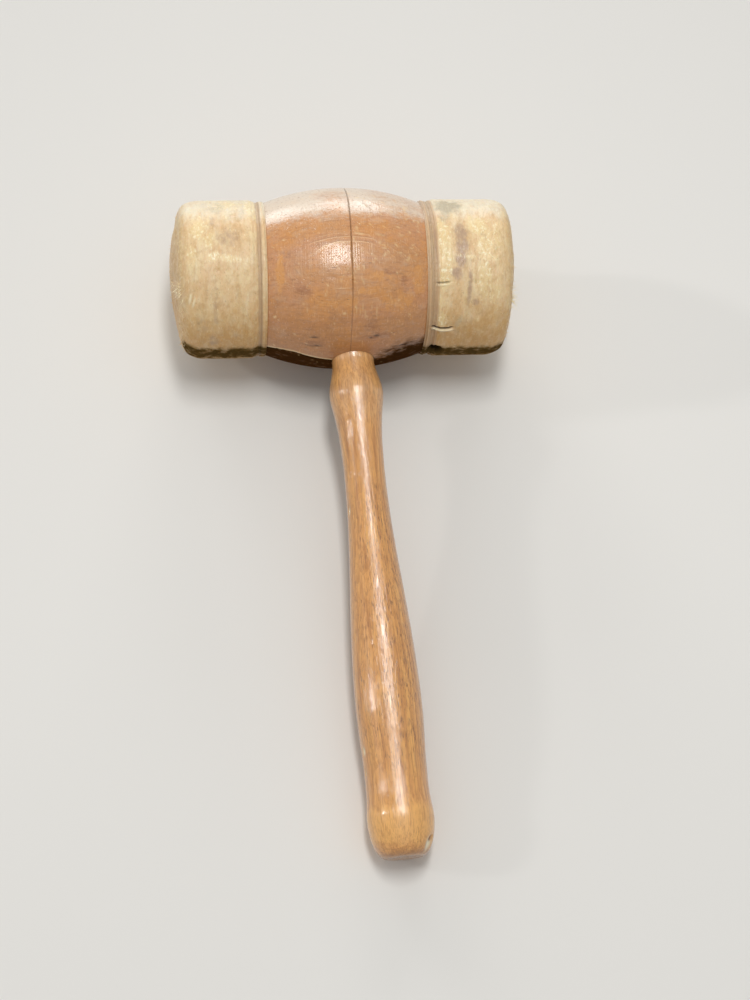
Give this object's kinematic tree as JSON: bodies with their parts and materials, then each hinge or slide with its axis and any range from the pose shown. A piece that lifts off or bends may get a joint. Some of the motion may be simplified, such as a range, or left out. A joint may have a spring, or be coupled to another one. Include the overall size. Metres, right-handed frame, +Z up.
{
  "type": "rawhide-capped mallet",
  "caption": "Hand mallet: a turned hardwood barrel head with a domed rawhide cap on each end and a turned, varnished handle wedged through it.",
  "frame": {"origin": "on the surface that the mallet lies on, under the middle of its whole bounding box", "axes": "+X along the head's axis towards the right face, -Y from the head towards the butt, +Z up; the mallet lies on its barrel and its butt, as in the picture"},
  "size_m": [0.1392, 0.2688, 0.0729],
  "materials": {
    "barrel_hardwood": "aged oil finish, worn satin",
    "rawhide": "hard aged rawhide, satin",
    "handle_hardwood": "glossy varnish",
    "wedge_hardwood": "end grain, oiled"
  },
  "bodies": {
    "root": {"head_barrel": "barrel_hardwood", "left_hide_cap": "rawhide", "right_hide_cap": "rawhide", "handle": "handle_hardwood", "tenon_wedge": "wedge_hardwood"}
  },
  "joints": []
}
